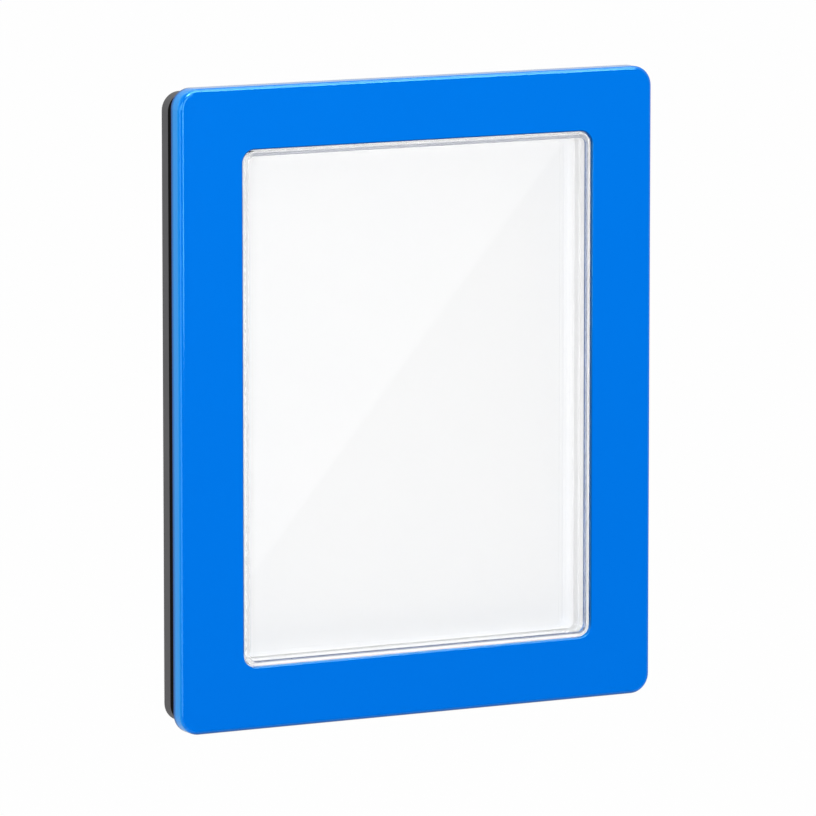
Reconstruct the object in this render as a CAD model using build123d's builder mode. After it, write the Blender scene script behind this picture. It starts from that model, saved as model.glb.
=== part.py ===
# Magnetic photo frame: a blue front half that lifts off a magnetic back half.
# Millimetres. X points to the viewer's right and Z up. The wall is the plane Y = 0.
# Every depth below is a distance forward of the wall, towards the viewer along -Y.
import os

from build123d import *

# Opening that shows the photo, and the border around it
opening_width = 60.5
opening_height = 79.5
opening_radius = 2.0
side_border = 10.75
end_border = 9.7
corner_radius = 3.1
least_radius = 0.3

# Front bezel: a thin blue shell
front_wall = 1.5
skirt_wall = 1.4
skirt_depth = 3.1
edge_round = 0.7
rear_bevel = 0.3
opening_round = 0.25

# Clear tray that fills the opening
tray_gap = 0.2
tray_bond = 0.05
tray_wall = 0.8
tray_floor = 1.0
rim_bevel = 0.12
floor_bevel = 0.12

# Photo card and the foam pad that presses it forward
card_overlap = 1.4
card_thickness = 0.25
card_play = 0.025
card_side_play = 0.35
pad_thickness = 0.9
pad_margin = 0.8
pad_radius = 2.0

# Disc magnets in the back plate and the steel discs they pull
magnet_diameter = 6.0
magnet_thickness = 2.0
magnet_recess = 0.1
magnet_fit = 0.05
keeper_diameter = 4.0
keeper_thickness = 1.2
keeper_fit = 0.05
keeper_gap = 0.2

# Back plate with a waffle of ribs under the pad
plate_skin = 0.3
plate_inset = 1.0
plate_radius = 2.9
plate_bevel = 0.3
relief_depth = 1.2
relief_rib = 1.2
relief_margin = 2.0
relief_columns = 5
relief_rows = 6

# Carrier: a flange on the back plate with a spigot that guides the front half
flange_thickness = 1.0
spigot_wall = 1.0
spigot_relief = 0.4
spigot_chamfer = 0.3
slip_gap = 0.3
finger_groove = 1.8

# White inner frame: a ribbed channel behind the bezel
web_thickness = 1.2
inner_wall = 1.0
inner_radius = 0.8
cup_wall = 0.7
rib_thickness = 0.8
rib_depth = 1.0

# Heat stakes that fasten the inner frame and the carrier
stake_diameter = 1.8
stake_gap = 0.1
head_diameter = 3.0
head_thickness = 0.5

# Overall outline
frame_width = opening_width + 2 * side_border
frame_height = opening_height + 2 * end_border

# Depths from the wall to the front face
plate_front = magnet_recess + magnet_thickness + plate_skin
flange_front = plate_front + flange_thickness
skirt_rear = flange_front + finger_groove
frame_front = skirt_rear + skirt_depth
wall_rear = frame_front - front_wall
web_rear = wall_rear - web_thickness
spigot_front = wall_rear - spigot_relief
pad_front = plate_front + pad_thickness
card_rear = pad_front + card_play
floor_rear = card_rear + card_thickness + card_play
floor_front = floor_rear + tray_floor
tray_depth = frame_front - floor_front
keeper_rear = flange_front + keeper_gap
keeper_front = keeper_rear + keeper_thickness

# Distances inward from the outline
spigot_inset = skirt_wall + slip_gap
inner_inset = spigot_inset + spigot_wall + slip_gap
cup_radius = keeper_diameter / 2 + keeper_fit + cup_wall
magnet_inset = inner_inset + cup_radius + keeper_fit

# Places of magnets, stakes and ribs around the border
magnet_x = frame_width / 2 - magnet_inset
magnet_z = frame_height / 2 - magnet_inset
magnet_places = [(x, z) for z in (magnet_z, 0, -magnet_z) for x in (-magnet_x, magnet_x)]
stake_places = [(x, z) for x in (-magnet_x, magnet_x) for z in (-magnet_z / 2, magnet_z / 2)]
rib_shares = (-0.75, -0.25, 0.25, 0.75)

# Photo card
card_width = opening_width + 2 * card_overlap
card_height = opening_height + 2 * card_overlap


def facing(depth):
    """Sketch plane that faces the viewer, this far in front of the wall."""
    return Plane.XZ.offset(depth)


def outline(inset, mode=Mode.ADD):
    """Rounded outline of the whole frame, drawn this far inside its edge."""
    radius = max(corner_radius - inset, least_radius)
    RectangleRounded(frame_width - 2 * inset, frame_height - 2 * inset, radius, mode=mode)


def window(grow, mode=Mode.ADD):
    """Rounded outline of the opening, grown outward by this much."""
    radius = max(opening_radius + grow, least_radius)
    RectangleRounded(opening_width + 2 * grow, opening_height + 2 * grow, radius, mode=mode)


def channel_rib(border, share, half_span, along_x):
    """Rib across the inner frame's channel, at a share of the way to the corner magnet."""
    start = inner_inset + inner_wall / 2
    end = border - inner_wall / 2
    middle = (start + end) / 2
    half_size = (frame_width if along_x else frame_height) / 2
    for side in (-1, 1):
        across = side * (half_size - middle)
        along = share * half_span
        place = (across, along) if along_x else (along, across)
        size = (end - start, rib_thickness) if along_x else (rib_thickness, end - start)
        with Locations(place):
            Rectangle(*size)


os.makedirs("parts", exist_ok=True)

# Front bezel: rounded shell with the photo opening and stakes inside
with BuildPart() as front_bezel:
    with BuildSketch(facing(skirt_rear)):
        outline(0)
    extrude(amount=skirt_depth)
    fillet(front_bezel.edges().group_by(Axis.Y)[0], edge_round)
    chamfer(front_bezel.edges().group_by(Axis.Y)[-1], rear_bevel)
    with BuildSketch(facing(skirt_rear)):
        outline(skirt_wall)
    extrude(amount=skirt_depth - front_wall, mode=Mode.SUBTRACT)
    with BuildSketch(facing(wall_rear)):
        window(0)
    extrude(amount=front_wall, mode=Mode.SUBTRACT)
    fillet(front_bezel.edges(Select.LAST).group_by(Axis.Y)[0], opening_round)
    with BuildSketch(facing(web_rear)):
        with Locations(*stake_places):
            Circle(stake_diameter / 2)
    extrude(amount=web_thickness)
    with BuildSketch(facing(web_rear - head_thickness)):
        with Locations(*stake_places):
            Circle(head_diameter / 2)
    extrude(amount=head_thickness)
front_bezel.part.label = "front_bezel"
export_step(front_bezel.part, "parts/front_bezel.step")

# Inner frame: white channel that carries the tray and the steel discs
with BuildPart() as inner_frame:
    with BuildSketch(facing(web_rear)):
        RectangleRounded(frame_width - 2 * inner_inset, frame_height - 2 * inner_inset, inner_radius)
        window(0, mode=Mode.SUBTRACT)
    extrude(amount=web_thickness)
    with BuildSketch(facing(flange_front)):
        RectangleRounded(frame_width - 2 * inner_inset, frame_height - 2 * inner_inset, inner_radius)
        outline(inner_inset + inner_wall, mode=Mode.SUBTRACT)
    extrude(amount=web_rear - flange_front)
    with BuildSketch(facing(floor_rear)):
        window(inner_wall)
        window(tray_bond - tray_gap, mode=Mode.SUBTRACT)
    extrude(amount=web_rear - floor_rear)
    with BuildSketch(facing(web_rear - rib_depth)):
        for rib_share in rib_shares:
            channel_rib(side_border, rib_share, magnet_z, True)
            channel_rib(end_border, rib_share, magnet_x, False)
    extrude(amount=rib_depth)
    with BuildSketch(facing(keeper_rear)):
        with Locations(*magnet_places):
            Circle(cup_radius)
    extrude(amount=web_rear - keeper_rear)
    with BuildSketch(facing(keeper_rear)):
        with Locations(*magnet_places):
            Circle(keeper_diameter / 2 + keeper_fit)
    extrude(amount=keeper_thickness, mode=Mode.SUBTRACT)
    with BuildSketch(facing(web_rear)):
        with Locations(*stake_places):
            Circle(stake_diameter / 2 + stake_gap)
    extrude(amount=web_thickness, mode=Mode.SUBTRACT)
inner_frame.part.label = "inner_frame"
export_step(inner_frame.part, "parts/inner_frame.step")

# Clear tray: a pan whose rim is flush with the bezel, bonded into the inner frame
with BuildPart() as window_tray:
    with BuildSketch(facing(floor_rear)):
        window(-tray_gap)
    extrude(amount=tray_floor + tray_depth)
    with BuildSketch(facing(floor_front)):
        window(-tray_gap - tray_wall)
    extrude(amount=tray_depth, mode=Mode.SUBTRACT)
    chamfer(window_tray.edges(Select.LAST).group_by(Axis.Y)[-1], floor_bevel)
    chamfer(window_tray.edges().group_by(Axis.Y)[0], rim_bevel)
window_tray.part.label = "window_tray"
export_step(window_tray.part, "parts/window_tray.step")

# Photo card: blank print, cut square
with BuildPart() as photo_card:
    with BuildSketch(facing(card_rear)):
        Rectangle(card_width, card_height)
    extrude(amount=card_thickness)
photo_card.part.label = "photo_card"
export_step(photo_card.part, "parts/photo_card.step")

# Foam pad on the back plate
with BuildPart() as backing_pad:
    with BuildSketch(facing(plate_front)):
        RectangleRounded(card_width - 2 * pad_margin, card_height - 2 * pad_margin, pad_radius)
    extrude(amount=pad_thickness)
backing_pad.part.label = "backing_pad"
export_step(backing_pad.part, "parts/backing_pad.step")

# Carrier: flange with the spigot that the front half slides over
with BuildPart() as rear_carrier:
    with BuildSketch(facing(plate_front)):
        RectangleRounded(frame_width - 2 * plate_inset, frame_height - 2 * plate_inset, plate_radius)
        Rectangle(
            card_width + 2 * card_side_play,
            card_height + 2 * card_side_play,
            mode=Mode.SUBTRACT,
        )
    extrude(amount=flange_thickness)
    with BuildSketch(facing(flange_front)):
        outline(spigot_inset)
    extrude(amount=spigot_front - flange_front)
    chamfer(rear_carrier.edges().group_by(Axis.Y)[0], spigot_chamfer)
    with BuildSketch(facing(flange_front)):
        outline(spigot_inset + spigot_wall)
    extrude(amount=spigot_front - flange_front, mode=Mode.SUBTRACT)
    with BuildSketch(facing(plate_front)):
        with Locations(*stake_places):
            Circle(stake_diameter / 2 + stake_gap)
    extrude(amount=flange_thickness, mode=Mode.SUBTRACT)
rear_carrier.part.label = "rear_carrier"
export_step(rear_carrier.part, "parts/rear_carrier.step")

# Back plate: grey moulding with magnet pockets behind and a ribbed front
with BuildPart() as back_plate:
    with BuildSketch(facing(0)):
        RectangleRounded(frame_width - 2 * plate_inset, frame_height - 2 * plate_inset, plate_radius)
    extrude(amount=plate_front)
    chamfer(back_plate.edges().group_by(Axis.Y)[-1], plate_bevel)
    with BuildSketch(facing(0)):
        with Locations(*magnet_places):
            Circle(magnet_diameter / 2 + magnet_fit)
    extrude(amount=magnet_recess + magnet_thickness, mode=Mode.SUBTRACT)
    relief_pitch_x = (opening_width - 2 * relief_margin + relief_rib) / relief_columns
    relief_pitch_z = (opening_height - 2 * relief_margin + relief_rib) / relief_rows
    with BuildSketch(facing(plate_front - relief_depth)):
        with GridLocations(relief_pitch_x, relief_pitch_z, relief_columns, relief_rows):
            Rectangle(relief_pitch_x - relief_rib, relief_pitch_z - relief_rib)
    extrude(amount=relief_depth, mode=Mode.SUBTRACT)
    with BuildSketch(facing(plate_front)):
        with Locations(*stake_places):
            Circle(stake_diameter / 2)
    extrude(amount=flange_thickness)
back_plate.part.label = "back_plate"
export_step(back_plate.part, "parts/back_plate.step")

# Disc magnets, set a little below the rear of the back plate
for number, place in enumerate(magnet_places, start=1):
    with BuildPart() as magnet:
        with BuildSketch(facing(magnet_recess)):
            with Locations(place):
                Circle(magnet_diameter / 2)
        extrude(amount=magnet_thickness)
    magnet.part.label = f"magnet_{number}"
    export_step(magnet.part, f"parts/magnet_{number}.step")

# Steel discs in the inner frame's cups
for number, place in enumerate(magnet_places, start=1):
    with BuildPart() as keeper:
        with BuildSketch(facing(keeper_rear)):
            with Locations(place):
                Circle(keeper_diameter / 2)
        extrude(amount=keeper_thickness)
    keeper.part.label = f"keeper_disc_{number}"
    export_step(keeper.part, f"parts/keeper_disc_{number}.step")
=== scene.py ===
# %% [markdown]
# A magnetic photo frame: a glossy blue front with a clear tray over a blank card, on a
# grey magnetic back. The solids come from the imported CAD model, in metres, with the
# wall at Y = 0 and the front looking along -Y. This lesson gives them their finishes,
# adds the glue round the magnets, and sets up a studio and a camera.

# %% Load the frame
from math import cos, pi, radians, sin

import bpy
from mathutils import Matrix, Vector


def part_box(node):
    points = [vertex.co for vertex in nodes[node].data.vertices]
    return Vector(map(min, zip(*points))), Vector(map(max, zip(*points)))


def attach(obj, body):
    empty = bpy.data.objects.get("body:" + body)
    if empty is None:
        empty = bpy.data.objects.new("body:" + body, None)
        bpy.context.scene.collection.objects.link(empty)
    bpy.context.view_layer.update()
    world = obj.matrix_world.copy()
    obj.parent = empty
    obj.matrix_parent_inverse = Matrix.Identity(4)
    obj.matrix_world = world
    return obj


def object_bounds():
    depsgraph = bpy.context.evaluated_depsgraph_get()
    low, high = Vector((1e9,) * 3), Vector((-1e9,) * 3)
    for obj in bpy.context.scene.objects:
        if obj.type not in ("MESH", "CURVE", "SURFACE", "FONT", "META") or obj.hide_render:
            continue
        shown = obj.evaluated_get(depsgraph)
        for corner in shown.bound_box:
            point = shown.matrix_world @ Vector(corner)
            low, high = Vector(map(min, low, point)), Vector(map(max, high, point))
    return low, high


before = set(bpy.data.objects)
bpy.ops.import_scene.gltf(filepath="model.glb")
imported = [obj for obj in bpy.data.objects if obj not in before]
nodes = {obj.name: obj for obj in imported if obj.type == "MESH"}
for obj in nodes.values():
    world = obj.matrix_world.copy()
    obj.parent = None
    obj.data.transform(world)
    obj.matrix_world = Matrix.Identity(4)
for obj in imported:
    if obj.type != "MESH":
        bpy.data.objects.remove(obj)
cad_box = [list(corner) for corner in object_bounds()]
front_low, front_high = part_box("front_bezel")
front_centre = (front_low + front_high) / 2
front_centre.y = front_low.y


def in_mm(place):
    """A place in metres as plain millimetres, for printing."""
    return [round(1000 * value, 1) for value in place]


print(len(nodes), "nodes, front centre in mm", in_mm(front_centre))

# %% [markdown]
# The photo was taken with a long lens from the left and a little above. A camera is a
# point, a direction and a focal length. It could be dragged about until the picture fits,
# but measured numbers fit better, so they are written down and turned into a matrix. The
# focal length in pixels becomes millimetres on a 36 mm sensor, because the picture is
# square and as wide as the sensor. The aim says how far to the right of the picture's
# middle, and above it, the centre of the front lies.

# %% Camera
PICTURE_SIDE_PX = 816
SENSOR_MM = 36.0
YAW, PITCH = radians(28.0), radians(8.122)
FOCAL_PX = 7663.7
FRONT_WIDTH_PX = 533.19
AIM_RIGHT_PX, AIM_UP_PX = 11.5, 10.2
CLIP_NEAR, CLIP_FAR = 0.01, 100.0

metre_per_px = (front_high.x - front_low.x) / FRONT_WIDTH_PX
forward = Vector((sin(YAW) * cos(PITCH), cos(YAW) * cos(PITCH), -sin(PITCH)))
right = Vector((cos(YAW), -sin(YAW), 0.0))
up = right.cross(forward)
eye_to_centre = right * AIM_RIGHT_PX + up * AIM_UP_PX + forward * FOCAL_PX
eye = front_centre - eye_to_centre * metre_per_px

lens = bpy.data.cameras.new("studio_camera")
lens.sensor_width = SENSOR_MM
lens.lens = SENSOR_MM * FOCAL_PX / PICTURE_SIDE_PX
lens.clip_start, lens.clip_end = CLIP_NEAR, CLIP_FAR
camera = bpy.data.objects.new("studio_camera", lens)
camera.matrix_world = Matrix((right, up, -forward)).transposed().to_4x4()
camera.matrix_world.translation = eye
bpy.context.scene.collection.objects.link(camera)
bpy.context.scene.camera = camera
print("camera at", in_mm(eye), "mm, focal length", round(lens.lens, 1), "mm")

# %% [markdown]
# A finish is a small graph of nodes. Made one node at a time it is long and hard to read,
# so this class wraps a socket: arithmetic on it adds Math nodes, and its one method adds
# any other kind of node.

# %% Shader arithmetic
class Wire:
    """A socket in a node tree, which Python arithmetic joins to others."""

    def __init__(self, tree, socket=None):
        self.tree = tree
        self.socket = socket

    def node(self, kind, sockets=None, output=0, **settings):
        """Add a node, set it up, feed its inputs, and return one of its outputs."""
        made = self.tree.nodes.new(kind)
        for name, value in settings.items():
            setattr(made, name, value)
        for name, value in (sockets or {}).items():
            socket = self.find(made.inputs, name)
            if isinstance(value, Wire):
                self.tree.links.new(value.socket, socket)
            else:
                socket.default_value = value
        if output is not None:
            return Wire(self.tree, self.find(made.outputs, output))

    @staticmethod
    def find(sockets, name):
        """A socket by number, by identifier, or by the name that is switched on."""
        if isinstance(name, int):
            return sockets[name]
        for socket in sockets:
            if socket.identifier == name:
                return socket
        return next(socket for socket in sockets if socket.name == name and socket.enabled)

    def math(self, operation, first, second=0.0):
        return self.node("ShaderNodeMath", {0: first, 1: second}, operation=operation)

    def __add__(self, other):
        return self.math("ADD", self, other)

    def __radd__(self, other):
        return self.math("ADD", other, self)

    def __sub__(self, other):
        return self.math("SUBTRACT", self, other)

    def __rsub__(self, other):
        return self.math("SUBTRACT", other, self)

    def __mul__(self, other):
        return self.math("MULTIPLY", self, other)

    def __rmul__(self, other):
        return self.math("MULTIPLY", other, self)


print("sockets now add, subtract and multiply")

# %% [markdown]
# Every finish here starts from the Principled shader and needs the same few things: noise,
# a colour between two, and a bump. The noise reads Object coordinates, which are metres on
# the piece itself, so it has its true scale and goes along when the piece moves.

# %% Helpers for finishes
def new_finish(name):
    """An empty material, the start of its wiring, and its surface shader's node."""
    finish = bpy.data.materials.new(name)
    finish.use_nodes = True
    shader = finish.node_tree.nodes["Principled BSDF"]
    return finish, Wire(finish.node_tree), shader


def feed(shader, name, wire):
    """Join a wire to an input of the surface shader."""
    shader.id_data.links.new(wire.socket, shader.inputs[name])


def between(wire, factor, first, second):
    """A colour between two, by a factor. Each is a wire or red, green and blue."""
    first, second = (c if isinstance(c, Wire) else (*c, 1.0) for c in (first, second))
    sockets = {"Factor_Float": factor, "A_Color": first, "B_Color": second}
    return wire.node("ShaderNodeMix", sockets, output="Result_Color", data_type="RGBA")


def grain(wire, scale, detail=2.0, roughness=0.5):
    """Noise over the object's own metres, from 0 to 1."""
    place = wire.node("ShaderNodeTexCoord", output="Object")
    sockets = {"Vector": place, "Scale": scale, "Detail": detail, "Roughness": roughness}
    return wire.node("ShaderNodeTexNoise", sockets, output="Fac")


def bumpy(wire, shader, height, distance, strength):
    """Raise the surface by a height from 0 to 1, times a distance in metres."""
    sockets = {"Height": height, "Distance": distance, "Strength": strength}
    feed(shader, "Normal", wire.node("ShaderNodeBump", sockets, output="Normal"))


def dress(finish, *names):
    """Give CAD nodes a finish in place of the plain one that they came with."""
    for name in names:
        slots = nodes[name].data.materials
        slots.clear()
        slots.append(finish)
    print(finish.name, "on", ", ".join(names))


print("finishes to make for", len(nodes), "nodes")

# %% [markdown]
# Thin lines on the shell and in the tray follow the tray's outline, a rectangle with
# rounded corners. They could be painted on an image, but then they would blur close by.
# Worked out in the shader, the distance from the outline is exact, and a line keeps its
# width round the corners. A ramp then turns a distance into a share from 0 to 1.

# %% Distance from the tray's outline
TRAY_RADIUS = 0.0018
tray_low, tray_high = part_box("window_tray")


def axis(wire, name, source="Object"):
    """X, Y or Z of what Texture Coordinate gives for a point of the surface."""
    place = wire.node("ShaderNodeTexCoord", output=source)
    return wire.node("ShaderNodeSeparateXYZ", {"Vector": place}, output=name)


def ramp(wire, value, start, end):
    """A value turned into 0 at the start of a stretch and 1 at its end."""
    sockets = {"Value": value, "From Min": start, "From Max": end}
    return wire.node("ShaderNodeMapRange", sockets, output="Result")


def past_tray(wire):
    """Metres from the tray's outline as seen from the front: less than 0 inside it."""
    over_x = wire.math("ABSOLUTE", axis(wire, "X")) - (tray_high.x - TRAY_RADIUS)
    over_z = wire.math("ABSOLUTE", axis(wire, "Z")) - (tray_high.z - TRAY_RADIUS)
    corner_x = wire.math("MAXIMUM", over_x, 0.0)
    corner_z = wire.math("MAXIMUM", over_z, 0.0)
    corner = wire.math("SQRT", corner_x * corner_x + corner_z * corner_z)
    inside = wire.math("MINIMUM", wire.math("MAXIMUM", over_x, over_z), 0.0)
    return corner + inside - TRAY_RADIUS


print("tray from", in_mm(tray_low), "to", in_mm(tray_high), "mm")

# %% [markdown]
# The front is injection-moulded and polished. Its blue is painted a touch paler towards
# the top, which is painted light, and paler on the sides, a painted sheen that the
# surface's own normal tells from the face. Painted shade draws dark lines in the gap
# round the tray, by the rear edge and at the foot, where little light gets in.
# The life in it comes from gloss: a faint change of roughness, and very shallow waves
# that bend reflections as on any moulded skin. The gloss is tinted, because white gloss
# would grey so strong a blue.

# %% Blue shell
BLUE, BLUE_DEEP = (0.0, 0.188, 0.803), (0.0, 0.162, 0.728)
# A paler blue for the painted sheen on the sides, and a dark blue for painted shade.
BLUE_SIDE_SHEEN, BLUE_SHADE = (0.0, 0.285, 0.86), (0.0, 0.055, 0.26)
# The first share is painted light, paler towards the top; the second is random tone.
TOP_LIGHT_SHARE, BY_MOTTLE, MOTTLE_SCALE = 0.8, 0.2, 60.0
SIDE_FROM, SIDE_TO = 0.7, 0.15
# Stretches, in metres, of the painted shade in the gap, by the rear edge and at the foot.
GAP_FROM, GAP_TO, GAP_FADE = 0.00048, 0.00033, 0.0025
REAR_FROM, REAR_TO, REAR_BACK, REAR_END = 0.0013, 0.0005, 0.0003, 0.0001
FOOT_FROM, FOOT_TO = 0.0007, 0.0001
SHELL_ROUGH, SHELL_VARIES, SHELL_SCALE = 0.06, 0.03, 400.0
WAVE_SCALE, WAVE_HEIGHT, WAVE_STRENGTH = 900.0, 0.000004, 0.3
SHELL_IOR = 1.5
GLOSS_TINT = (0.25, 0.9, 1.0, 1.0)


def blue_shell():
    finish, wire, shader = new_finish("blue_shell")
    depth, height = axis(wire, "Y"), axis(wire, "Z")
    # Painted shade: dark lines in the gap round the tray, fading out at the bottom, by the
    # rear edge and at the foot.
    gap = ramp(wire, past_tray(wire), GAP_FROM, GAP_TO)
    gap = gap * ramp(wire, height, tray_low.z, tray_low.z + GAP_FADE)
    rear = ramp(wire, depth, front_high.y - REAR_FROM, front_high.y - REAR_TO)
    rear = rear * ramp(wire, depth, front_high.y - REAR_END, front_high.y - REAR_BACK)
    foot = ramp(wire, height, front_low.z + FOOT_FROM, front_low.z + FOOT_TO)
    shade = wire.math("MAXIMUM", gap, wire.math("MAXIMUM", rear, foot))
    # Painted light: the blue is paler towards the top; the mottle on it is random tone.
    painted_top_light = TOP_LIGHT_SHARE * ramp(wire, height, front_low.z, front_high.z)
    skin = between(wire, painted_top_light + BY_MOTTLE * grain(wire, MOTTLE_SCALE), BLUE_DEEP, BLUE)
    # Painted sheen: the sides, turned away from the front, are paler blue.
    to_front = wire.math("ABSOLUTE", axis(wire, "Y", "Normal"))
    skin = between(wire, ramp(wire, to_front, SIDE_FROM, SIDE_TO), skin, BLUE_SIDE_SHEEN)
    feed(shader, "Base Color", between(wire, shade, skin, BLUE_SHADE))
    feed(shader, "Roughness", SHELL_ROUGH + SHELL_VARIES * grain(wire, SHELL_SCALE))
    bumpy(wire, shader, grain(wire, WAVE_SCALE), WAVE_HEIGHT, WAVE_STRENGTH)
    shader.inputs["IOR"].default_value = SHELL_IOR
    shader.inputs["Specular Tint"].default_value = GLOSS_TINT
    return finish


dress(blue_shell(), "front_bezel")

# %% [markdown]
# The tray is clear polystyrene. It bends light as glass does, so its rim and walls show
# what is behind them, with a trace of haze from the mould. Along the inner edge of the
# rim runs a thin blue-grey line of painted shade, where the real tray turns the light
# away; it is painted into the base colour, because tracing such light takes very many
# samples. For the same reason the tray is open to shadow and diffuse rays: Light Path
# says which ray has come, and a Mix Shader lets those pass to the card.

# %% Clear tray
# The colour of the painted shade along the rim's inner edge.
RIM_PAINTED_SHADE = (0.09, 0.12, 0.22)
RIM_WIDTH, RIM_DEPTH = 0.0008, 0.00013
RIM_LINE, RIM_SOLID_SHARE = 0.00038, 0.6
RIM_TOP, RIM_TOP_EXTRA = 0.7, 0.00025
CLEAR = (0.985, 0.99, 0.995), (1.0, 1.0, 1.0)
CLEAR_SCALE = 50.0
HAZE, HAZE_SCALE = 0.004, 300.0
TRAY_IOR = 1.49
WHITE = (1.0, 1.0, 1.0, 1.0)


def ray(wire, kind):
    """1 where a surface is reached by this kind of ray, and 0 elsewhere."""
    return wire.node("ShaderNodeLightPath", output=f"Is {kind} Ray")


def mix_in(finish, wire, shader, share, other):
    """Show another shader in place of a finish's own, by a share from 0 to 1."""
    own = Wire(finish.node_tree, shader.outputs["BSDF"])
    mixed = wire.node("ShaderNodeMixShader", {0: share, 1: own, 2: other})
    surface = next(n for n in finish.node_tree.nodes if n.type == "OUTPUT_MATERIAL")
    finish.node_tree.links.new(mixed.socket, surface.inputs["Surface"])


def clear_tray():
    finish, wire, shader = new_finish("clear_tray")
    across, depth, height = (axis(wire, name) for name in "XYZ")
    # Painted shade: a thin blue-grey line along the rim's inner edge, fainter along the top
    # and left out on the left side.
    under_top = ramp(wire, height, tray_high.z - RIM_WIDTH, tray_high.z - 2 * RIM_WIDTH)
    from_edge = past_tray(wire) - RIM_TOP_EXTRA * (1.0 - under_top)
    line_ends = RIM_LINE - RIM_WIDTH, RIM_SOLID_SHARE * RIM_LINE - RIM_WIDTH
    line = ramp(wire, from_edge, *line_ends)
    line = line * ramp(wire, depth, tray_low.y + 2 * RIM_DEPTH, tray_low.y + RIM_DEPTH)
    line = line * ramp(wire, across, tray_low.x + RIM_WIDTH, tray_low.x + 2 * RIM_WIDTH)
    line = line * (RIM_TOP + (1.0 - RIM_TOP) * under_top)
    clear = between(wire, grain(wire, CLEAR_SCALE), *CLEAR)
    feed(shader, "Base Color", between(wire, line, clear, RIM_PAINTED_SHADE))
    feed(shader, "Roughness", HAZE * grain(wire, HAZE_SCALE))
    shader.inputs["Transmission Weight"].default_value = 1.0
    shader.inputs["IOR"].default_value = TRAY_IOR
    open_way = wire.node("ShaderNodeBsdfTransparent", {"Color": WHITE})
    mix_in(finish, wire, shader, ray(wire, "Shadow") + ray(wire, "Diffuse"), open_way)
    return finish


dress(clear_tray(), "window_tray")

# %% [markdown]
# The blank card and the white moulding round the tray are both nearly white, so texture
# tells them apart. The card has paper fibre: one fine noise varies its colour and its
# roughness and raises it slightly. The moulding has a smoother, satin skin.

# %% Card and white moulding
CARD = (0.88, 0.88, 0.88), (0.91, 0.91, 0.91)
CARD_ROUGH, CARD_VARIES, CARD_GLOSS = 0.55, 0.1, 0.1
FIBRE = {"scale": 2500.0, "detail": 4.0, "roughness": 0.7}
FIBRE_HEIGHT, FIBRE_STRENGTH = 0.00001, 0.2
SATIN, SATIN_SCALE = ((0.90, 0.90, 0.90), (0.93, 0.93, 0.93)), 80.0
SATIN_ROUGH, SATIN_VARIES, SATIN_ROUGH_SCALE = 0.35, 0.1, 500.0


def blank_card():
    finish, wire, shader = new_finish("blank_card")
    fibre = grain(wire, **FIBRE)
    feed(shader, "Base Color", between(wire, fibre, *CARD))
    feed(shader, "Roughness", CARD_ROUGH + CARD_VARIES * fibre)
    bumpy(wire, shader, fibre, FIBRE_HEIGHT, FIBRE_STRENGTH)
    shader.inputs["Specular IOR Level"].default_value = CARD_GLOSS
    return finish


def white_moulding():
    finish, wire, shader = new_finish("white_moulding")
    feed(shader, "Base Color", between(wire, grain(wire, SATIN_SCALE), *SATIN))
    feed(shader, "Roughness", SATIN_ROUGH + SATIN_VARIES * grain(wire, SATIN_ROUGH_SCALE))
    return finish


dress(blank_card(), "photo_card")
dress(white_moulding(), "inner_frame")

# %% [markdown]
# The back half is matt: a spark-eroded mould leaves a fine grain on the grey plate and
# the black carrier. Modelled, that grain would take millions of faces, so a noise at a
# fraction of a millimetre feeds a bump and the roughness instead.

# %% Back half
GREY = (0.086, 0.084, 0.087), (0.098, 0.096, 0.100)
# The carrier is black, and so near black that it also stands in for painted shade in the
# groove between the halves.
BLACK_AND_GROOVE_SHADE = (0.002, 0.002, 0.002), (0.004, 0.004, 0.004)
SHADE_SCALE = 120.0
PEBBLE = {"scale": 3500.0, "detail": 3.0, "roughness": 0.6}
PEBBLE_HEIGHT, PEBBLE_STRENGTH, PEBBLE_ROUGH = 0.00003, 0.35, 0.12


def moulded_matt(name, shades, rough, gloss):
    finish, wire, shader = new_finish(name)
    pebble = grain(wire, **PEBBLE)
    feed(shader, "Base Color", between(wire, grain(wire, SHADE_SCALE), *shades))
    feed(shader, "Roughness", rough + PEBBLE_ROUGH * pebble)
    bumpy(wire, shader, pebble, PEBBLE_HEIGHT, PEBBLE_STRENGTH)
    shader.inputs["Specular IOR Level"].default_value = gloss
    return finish


dress(moulded_matt("grey_moulding", GREY, rough=0.5, gloss=0.2), "back_plate")
dress(moulded_matt("black_moulding", BLACK_AND_GROOVE_SHADE, rough=0.6, gloss=0.02), "rear_carrier")

# %% [markdown]
# The pad that presses the card forward is closed-cell foam. Noise would look like dirt
# here. A Voronoi texture divides space into cells, as bubbles do, and its distance from
# their centres gives the colour, the roughness and the bump.

# %% Foam pad
FOAM = (0.03, 0.03, 0.032), (0.12, 0.12, 0.125)
FOAM_ROUGH, FOAM_VARIES = 0.85, 0.1
CELL_SCALE, CELL_HEIGHT, CELL_STRENGTH = 2200.0, 0.00012, 0.6


def foam_pad():
    finish, wire, shader = new_finish("foam_pad")
    place = wire.node("ShaderNodeTexCoord", output="Object")
    sockets = {"Vector": place, "Scale": CELL_SCALE}
    cells = wire.node("ShaderNodeTexVoronoi", sockets, output="Distance")
    feed(shader, "Base Color", between(wire, cells, *FOAM))
    feed(shader, "Roughness", FOAM_ROUGH + FOAM_VARIES * cells)
    bumpy(wire, shader, cells, CELL_HEIGHT, CELL_STRENGTH)
    return finish


dress(foam_pad(), "backing_pad")

# %% [markdown]
# The magnets are plated with nickel, and the steel discs that they pull on with zinc. Both
# are metal all over, so Metallic is 1. One noise varies the colour and the roughness
# together, because a scuff in plating is both paler and duller.

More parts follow.
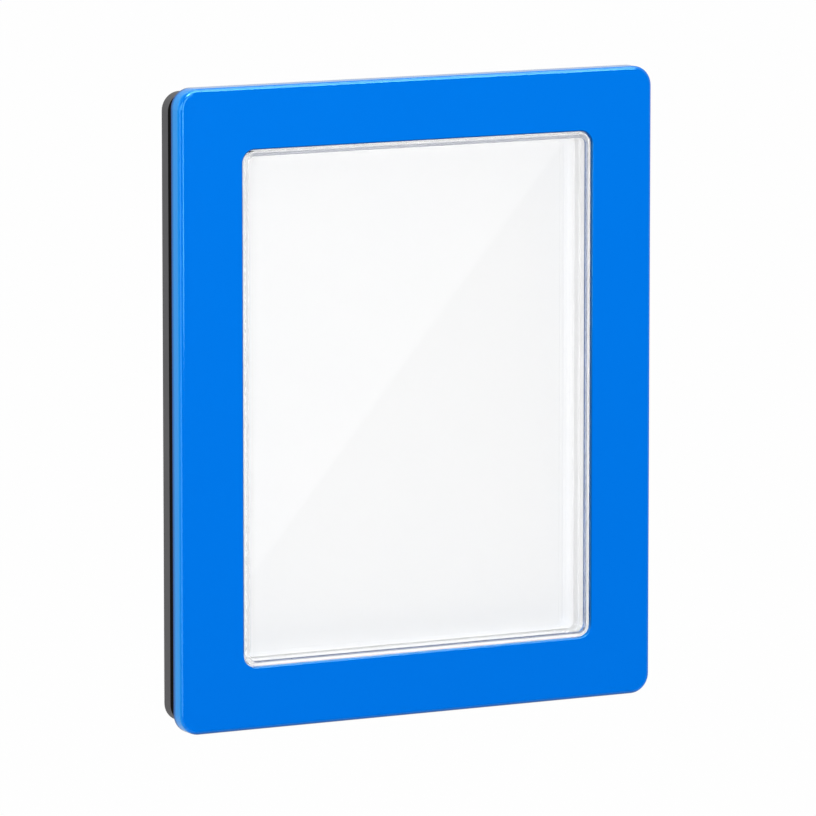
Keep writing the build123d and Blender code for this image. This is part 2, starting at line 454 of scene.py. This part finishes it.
# %% Plated discs
DISC_NUMBERS = range(1, 7)
MAGNETS = [f"magnet_{number}" for number in DISC_NUMBERS]
KEEPERS = [f"keeper_disc_{number}" for number in DISC_NUMBERS]
NICKEL = (0.55, 0.53, 0.50), (0.68, 0.66, 0.62)
ZINC = (0.36, 0.37, 0.39), (0.48, 0.49, 0.51)
PLATED_ROUGH, PLATED_VARIES = 0.2, 0.2


def plated(name, shades, scale):
    finish, wire, shader = new_finish(name)
    worn = grain(wire, scale, detail=4.0, roughness=0.6)
    feed(shader, "Base Color", between(wire, worn, *shades))
    feed(shader, "Roughness", PLATED_ROUGH + PLATED_VARIES * worn)
    shader.inputs["Metallic"].default_value = 1.0
    return finish


dress(plated("nickel", NICKEL, scale=900.0), *MAGNETS)
dress(plated("zinc", ZINC, scale=700.0), *KEEPERS)

# %% [markdown]
# Each magnet is glued into its pocket, and a little dark glue rises round its edge. One
# bead is a ring with a flattened round section. Six could be modelled by hand, but they
# repeat, so a Geometry Nodes tree puts one on every point that it is given. Its named
# inputs hold the sizes.

# %% The tree for the glue
BEAD_SIZES = {"Ring Radius": 0.00288, "Bead Width": 0.00032, "Bead Height": 0.00012}
RING_STEPS, SECTION_STEPS = 48, 10
UNIT_RADIUS = 0.5


def bead_tree():
    tree = bpy.data.node_groups.new("glue_beads", "GeometryNodeTree")
    tree.interface.new_socket("Places", in_out="INPUT", socket_type="NodeSocketGeometry")
    for name in BEAD_SIZES:
        tree.interface.new_socket(name, in_out="INPUT", socket_type="NodeSocketFloat")
    tree.interface.new_socket("Finish", in_out="INPUT", socket_type="NodeSocketMaterial")
    tree.interface.new_socket("Beads", in_out="OUTPUT", socket_type="NodeSocketGeometry")
    wire = Wire(tree)
    places, radius, width, height, finish = (
        wire.node("NodeGroupInput", output=name) for name in ("Places", *BEAD_SIZES, "Finish")
    )
    circle = "GeometryNodeCurvePrimitiveCircle"
    ring = wire.node(circle, {"Resolution": RING_STEPS, "Radius": radius})
    section = wire.node(circle, {"Resolution": SECTION_STEPS, "Radius": UNIT_RADIUS})
    flattened = wire.node("ShaderNodeCombineXYZ", {"X": width, "Y": height, "Z": 1.0})
    section = wire.node("GeometryNodeTransform", {"Geometry": section, "Scale": flattened})
    bead = wire.node("GeometryNodeCurveToMesh", {"Curve": ring, "Profile Curve": section})
    bead = wire.node("GeometryNodeSetShadeSmooth", {"Geometry": bead})
    beads = wire.node("GeometryNodeInstanceOnPoints", {
        "Points": places, "Instance": bead, "Rotation": (pi / 2, 0.0, 0.0),
    })
    beads = wire.node("GeometryNodeRealizeInstances", {"Geometry": beads})
    beads = wire.node("GeometryNodeSetMaterial", {"Geometry": beads, "Material": finish})
    wire.node("NodeGroupOutput", {"Beads": beads}, output=None)
    return tree


glue_tree = bead_tree()
print("bead tree with", len(glue_tree.nodes), "nodes")

# %% [markdown]
# The points are the middles of the magnets' rear faces, read from the solids, so the glue
# stays on the magnets if they move. The finished mesh is taken from the evaluated object
# and keeps no modifier. It rides on the back, as the magnets do.

# %% Glue beads
GLUE = (0.010, 0.010, 0.011), (0.020, 0.020, 0.021)
GLUE_ROUGH, GLUE_VARIES = 0.2, 0.15


def glue():
    finish, wire, shader = new_finish("glue")
    cure = grain(wire, scale=700.0, detail=3.0)
    feed(shader, "Base Color", between(wire, cure, *GLUE))
    feed(shader, "Roughness", GLUE_ROUGH + GLUE_VARIES * cure)
    return finish


def glue_beads():
    places = bpy.data.meshes.new("magnet_places")
    boxes = [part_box(magnet) for magnet in MAGNETS]
    rears = [((low.x + high.x) / 2, high.y, (low.z + high.z) / 2) for low, high in boxes]
    places.from_pydata(rears, [], [])
    maker = bpy.data.objects.new("bead_maker", places)
    bpy.context.scene.collection.objects.link(maker)
    modifier = maker.modifiers.new("glue_beads", "NODES")
    modifier.node_group = glue_tree
    given = {**BEAD_SIZES, "Finish": glue()}
    for socket in glue_tree.interface.items_tree:
        if socket.name in given:
            modifier[socket.identifier] = given[socket.name]
    made = maker.evaluated_get(bpy.context.evaluated_depsgraph_get())
    mesh = bpy.data.meshes.new_from_object(made)
    maker.modifiers.remove(modifier)
    bpy.data.objects.remove(maker)
    beads = bpy.data.objects.new("glue_beads", mesh)
    bpy.context.scene.collection.objects.link(beads)
    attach(beads, "back")
    rearmost = round(1000 * max(vertex.co.y for vertex in mesh.vertices), 3)
    print("glue_beads", len(mesh.polygons), "faces, rearmost at", rearmost, "mm")


glue_beads()

# %% [markdown]
# The floor is a pale sheet well below the frame, because the frame hangs on a wall. The
# camera and clear pieces see it as nearly white. In gloss its left half glows dimly, for
# the shell's left side to mirror, and its right half is dark: the front mirrors that one,
# and would turn pale if it shone.

# %% Floor
FLOOR_DROP = 0.30
FLOOR_FRONT, FLOOR_BACK, FLOOR_SIDE = -0.35, 6.0, 4.0
FLOOR_PALE, FLOOR_ROUGH = (0.82, 0.82, 0.82, 1.0), 0.9
FLOOR_SEEN, FLOOR_IN_GLOSS, FLOOR_FADE = 0.985, 0.38, 0.05


def studio_floor():
    mesh = bpy.data.meshes.new("studio_floor")
    floor_z = cad_box[0][2] - FLOOR_DROP
    corners = [
        (-FLOOR_SIDE, FLOOR_FRONT, floor_z),
        (FLOOR_SIDE, FLOOR_FRONT, floor_z),
        (FLOOR_SIDE, FLOOR_BACK, floor_z),
        (-FLOOR_SIDE, FLOOR_BACK, floor_z),
    ]
    mesh.from_pydata(corners, [], [(0, 1, 2, 3)])
    floor = bpy.data.objects.new("studio_floor", mesh)
    bpy.context.scene.collection.objects.link(floor)
    finish, wire, shader = new_finish("pale_floor")
    shader.inputs["Base Color"].default_value = FLOOR_PALE
    shader.inputs["Roughness"].default_value = FLOOR_ROUGH
    glow = wire.node("ShaderNodeEmission", {"Color": WHITE, "Strength": 1.0})
    left = ramp(wire, axis(wire, "X"), FLOOR_FADE, -FLOOR_FADE)
    seen = FLOOR_SEEN * (ray(wire, "Camera") + ray(wire, "Transmission"))
    mix_in(finish, wire, shader, seen + FLOOR_IN_GLOSS * ray(wire, "Glossy") * left, glow)
    mesh.materials.append(finish)
    print("floor at", round(1000 * floor_z, 1), "mm")


studio_floor()

# %% [markdown]
# The world is white to the camera and through clear pieces. In gloss it is bright behind
# the frame and dark in front of it, as in a room with a white sweep and a dark camera side,
# so the edges shine and the flat front keeps its colour. Diffuse surfaces get half its
# light, which softens the shadows.

# %% World
WORLD_IN_GLOSS, AMBIENT = 0.8, 0.5
DARK_UP_TO, BRIGHT_FROM = -0.75, -0.5


def studio_world():
    world = bpy.data.worlds.new("studio_world")
    world.use_nodes = True
    bpy.context.scene.world = world
    wire = Wire(world.node_tree)
    behind = ramp(wire, axis(wire, "Y", "Generated"), DARK_UP_TO, BRIGHT_FROM)
    seen = ray(wire, "Camera") + ray(wire, "Transmission")
    in_gloss = WORLD_IN_GLOSS * ray(wire, "Glossy") * behind
    level = seen + in_gloss + AMBIENT * ray(wire, "Diffuse")
    background = next(n for n in world.node_tree.nodes if n.type == "BACKGROUND")
    world.node_tree.links.new(level.socket, background.inputs["Strength"])
    background.inputs["Color"].default_value = WHITE
    print("world with", len(world.node_tree.nodes), "nodes")


studio_world()

# %% [markdown]
# Four soft boxes light the frame: a key from the right, a fill from the left, one above
# and one behind. Each stands where the flat front doesn't mirror it to the camera. The
# next four only show in gloss and draw the pale lines on the shell's edges; more light on
# everything would do that too, but wash out the rest. Three of them are linked to the shell
# alone, and the last box to the white moulding, which keeps the tray's left wall light.

# %% Soft boxes
def soft_box(name, place, size, watts, only_gloss=False, only_on=None):
    """A lamp turned to the front. It may show in gloss only, or fall on one node only."""
    light = bpy.data.lights.new(name, "AREA")
    light.shape = "RECTANGLE"
    light.size, light.size_y = size
    light.energy = watts
    lamp = bpy.data.objects.new(name, light)
    lamp.location = place
    lamp.rotation_euler = (front_centre - Vector(place)).to_track_quat("-Z", "Y").to_euler()
    lamp.visible_diffuse = not only_gloss
    if only_on:
        lit = bpy.data.collections.new(f"{name}_falls_on")
        lit.objects.link(nodes[only_on])
        lamp.light_linking.receiver_collection = lit
    bpy.context.scene.collection.objects.link(lamp)
    print(name, "at", in_mm(place), "mm,", round(watts, 3), "watts")
    return lamp


soft_box("key_light", (0.16, -0.88, 0.04), size=(0.3, 0.3), watts=2.3)
soft_box("fill_light", (-0.5, -0.73, 0.18), size=(0.3, 0.3), watts=2.75)
soft_box("top_light", (0.0, 0.3, 0.9), size=(0.8, 0.8), watts=5.0)
soft_box("rim_light", (-1.2, 0.6, 0.4), size=(0.8, 0.8), watts=3.2)

SHELL_ALONE = {"only_gloss": True, "only_on": "front_bezel"}
soft_box("line_light", (0.36, -1.22, 1.15), size=(1.4, 0.7), watts=40.0, **SHELL_ALONE)
soft_box("corner_light", (-0.14, -1.38, 1.15), size=(0.5, 0.5), watts=24.0, **SHELL_ALONE)
soft_box("side_line_light", (-1.2, -0.75, 0.0), size=(0.9, 0.7), watts=6.0, only_gloss=True)
soft_box("top_line_light", (0.4, -0.45, 1.3), size=(1.6, 0.7), watts=22.0, **SHELL_ALONE)
soft_box("wall_light", (0.8, -0.6, 0.1), size=(0.4, 0.4), watts=5.0, only_on="inner_frame")

# %% [markdown]
# The upper left half of the window is a touch paler, up to a sharp slanted edge: the
# clear pane mirrors the side of a lamp. Painting that on the tray would be wrong from
# any other side, so a real lamp is put where the mirror shows it. Seen in a mirror, the
# camera stands behind the pane. A line from there through two points of the edge, carried
# on into the room, gives the side of the lamp.

# %% Glare on the pane
GLARE_TOP, GLARE_FOOT = (0.0188, 0.0277), (-0.0188, -0.0166)
PANE_THICK = 0.001
GLARE_REACH = 1.7
GLARE_LENGTH, GLARE_WIDTH = 0.5, 0.3
GLARE_LEVEL = 0.33

pane_y = tray_high.y - PANE_THICK
mirrored_eye = Vector((eye.x, 2 * pane_y - eye.y, eye.z))
top_end, foot_end = (
    mirrored_eye + GLARE_REACH * (Vector((x, pane_y, z)) - mirrored_eye)
    for x, z in (GLARE_TOP, GLARE_FOOT)
)
towards_room = Vector((0.0, -1.0, 0.0))
along = (top_end - foot_end).normalized()
upper_left = towards_room.cross(along)
glare = soft_box(
    "glare_light",
    place=(top_end + foot_end) / 2 + upper_left * GLARE_WIDTH / 2,
    size=(GLARE_LENGTH, GLARE_WIDTH),
    watts=GLARE_LEVEL * pi * GLARE_LENGTH * GLARE_WIDTH,
    only_gloss=True,
    only_on="window_tray",
)
glare.rotation_euler = Matrix((along, upper_left, towards_room)).transposed().to_euler()
print("glare edge from", in_mm(foot_end), "to", in_mm(top_end), "mm")

# %% [markdown]
# The view transform turns light into the colours of the screen. The usual one imitates
# film and would soften the blue, so the plain one is set: a colour then looks about as it
# is written above.

# %% Screen colours
bpy.context.scene.view_settings.view_transform = "Standard"
print("view transform", bpy.context.scene.view_settings.view_transform)
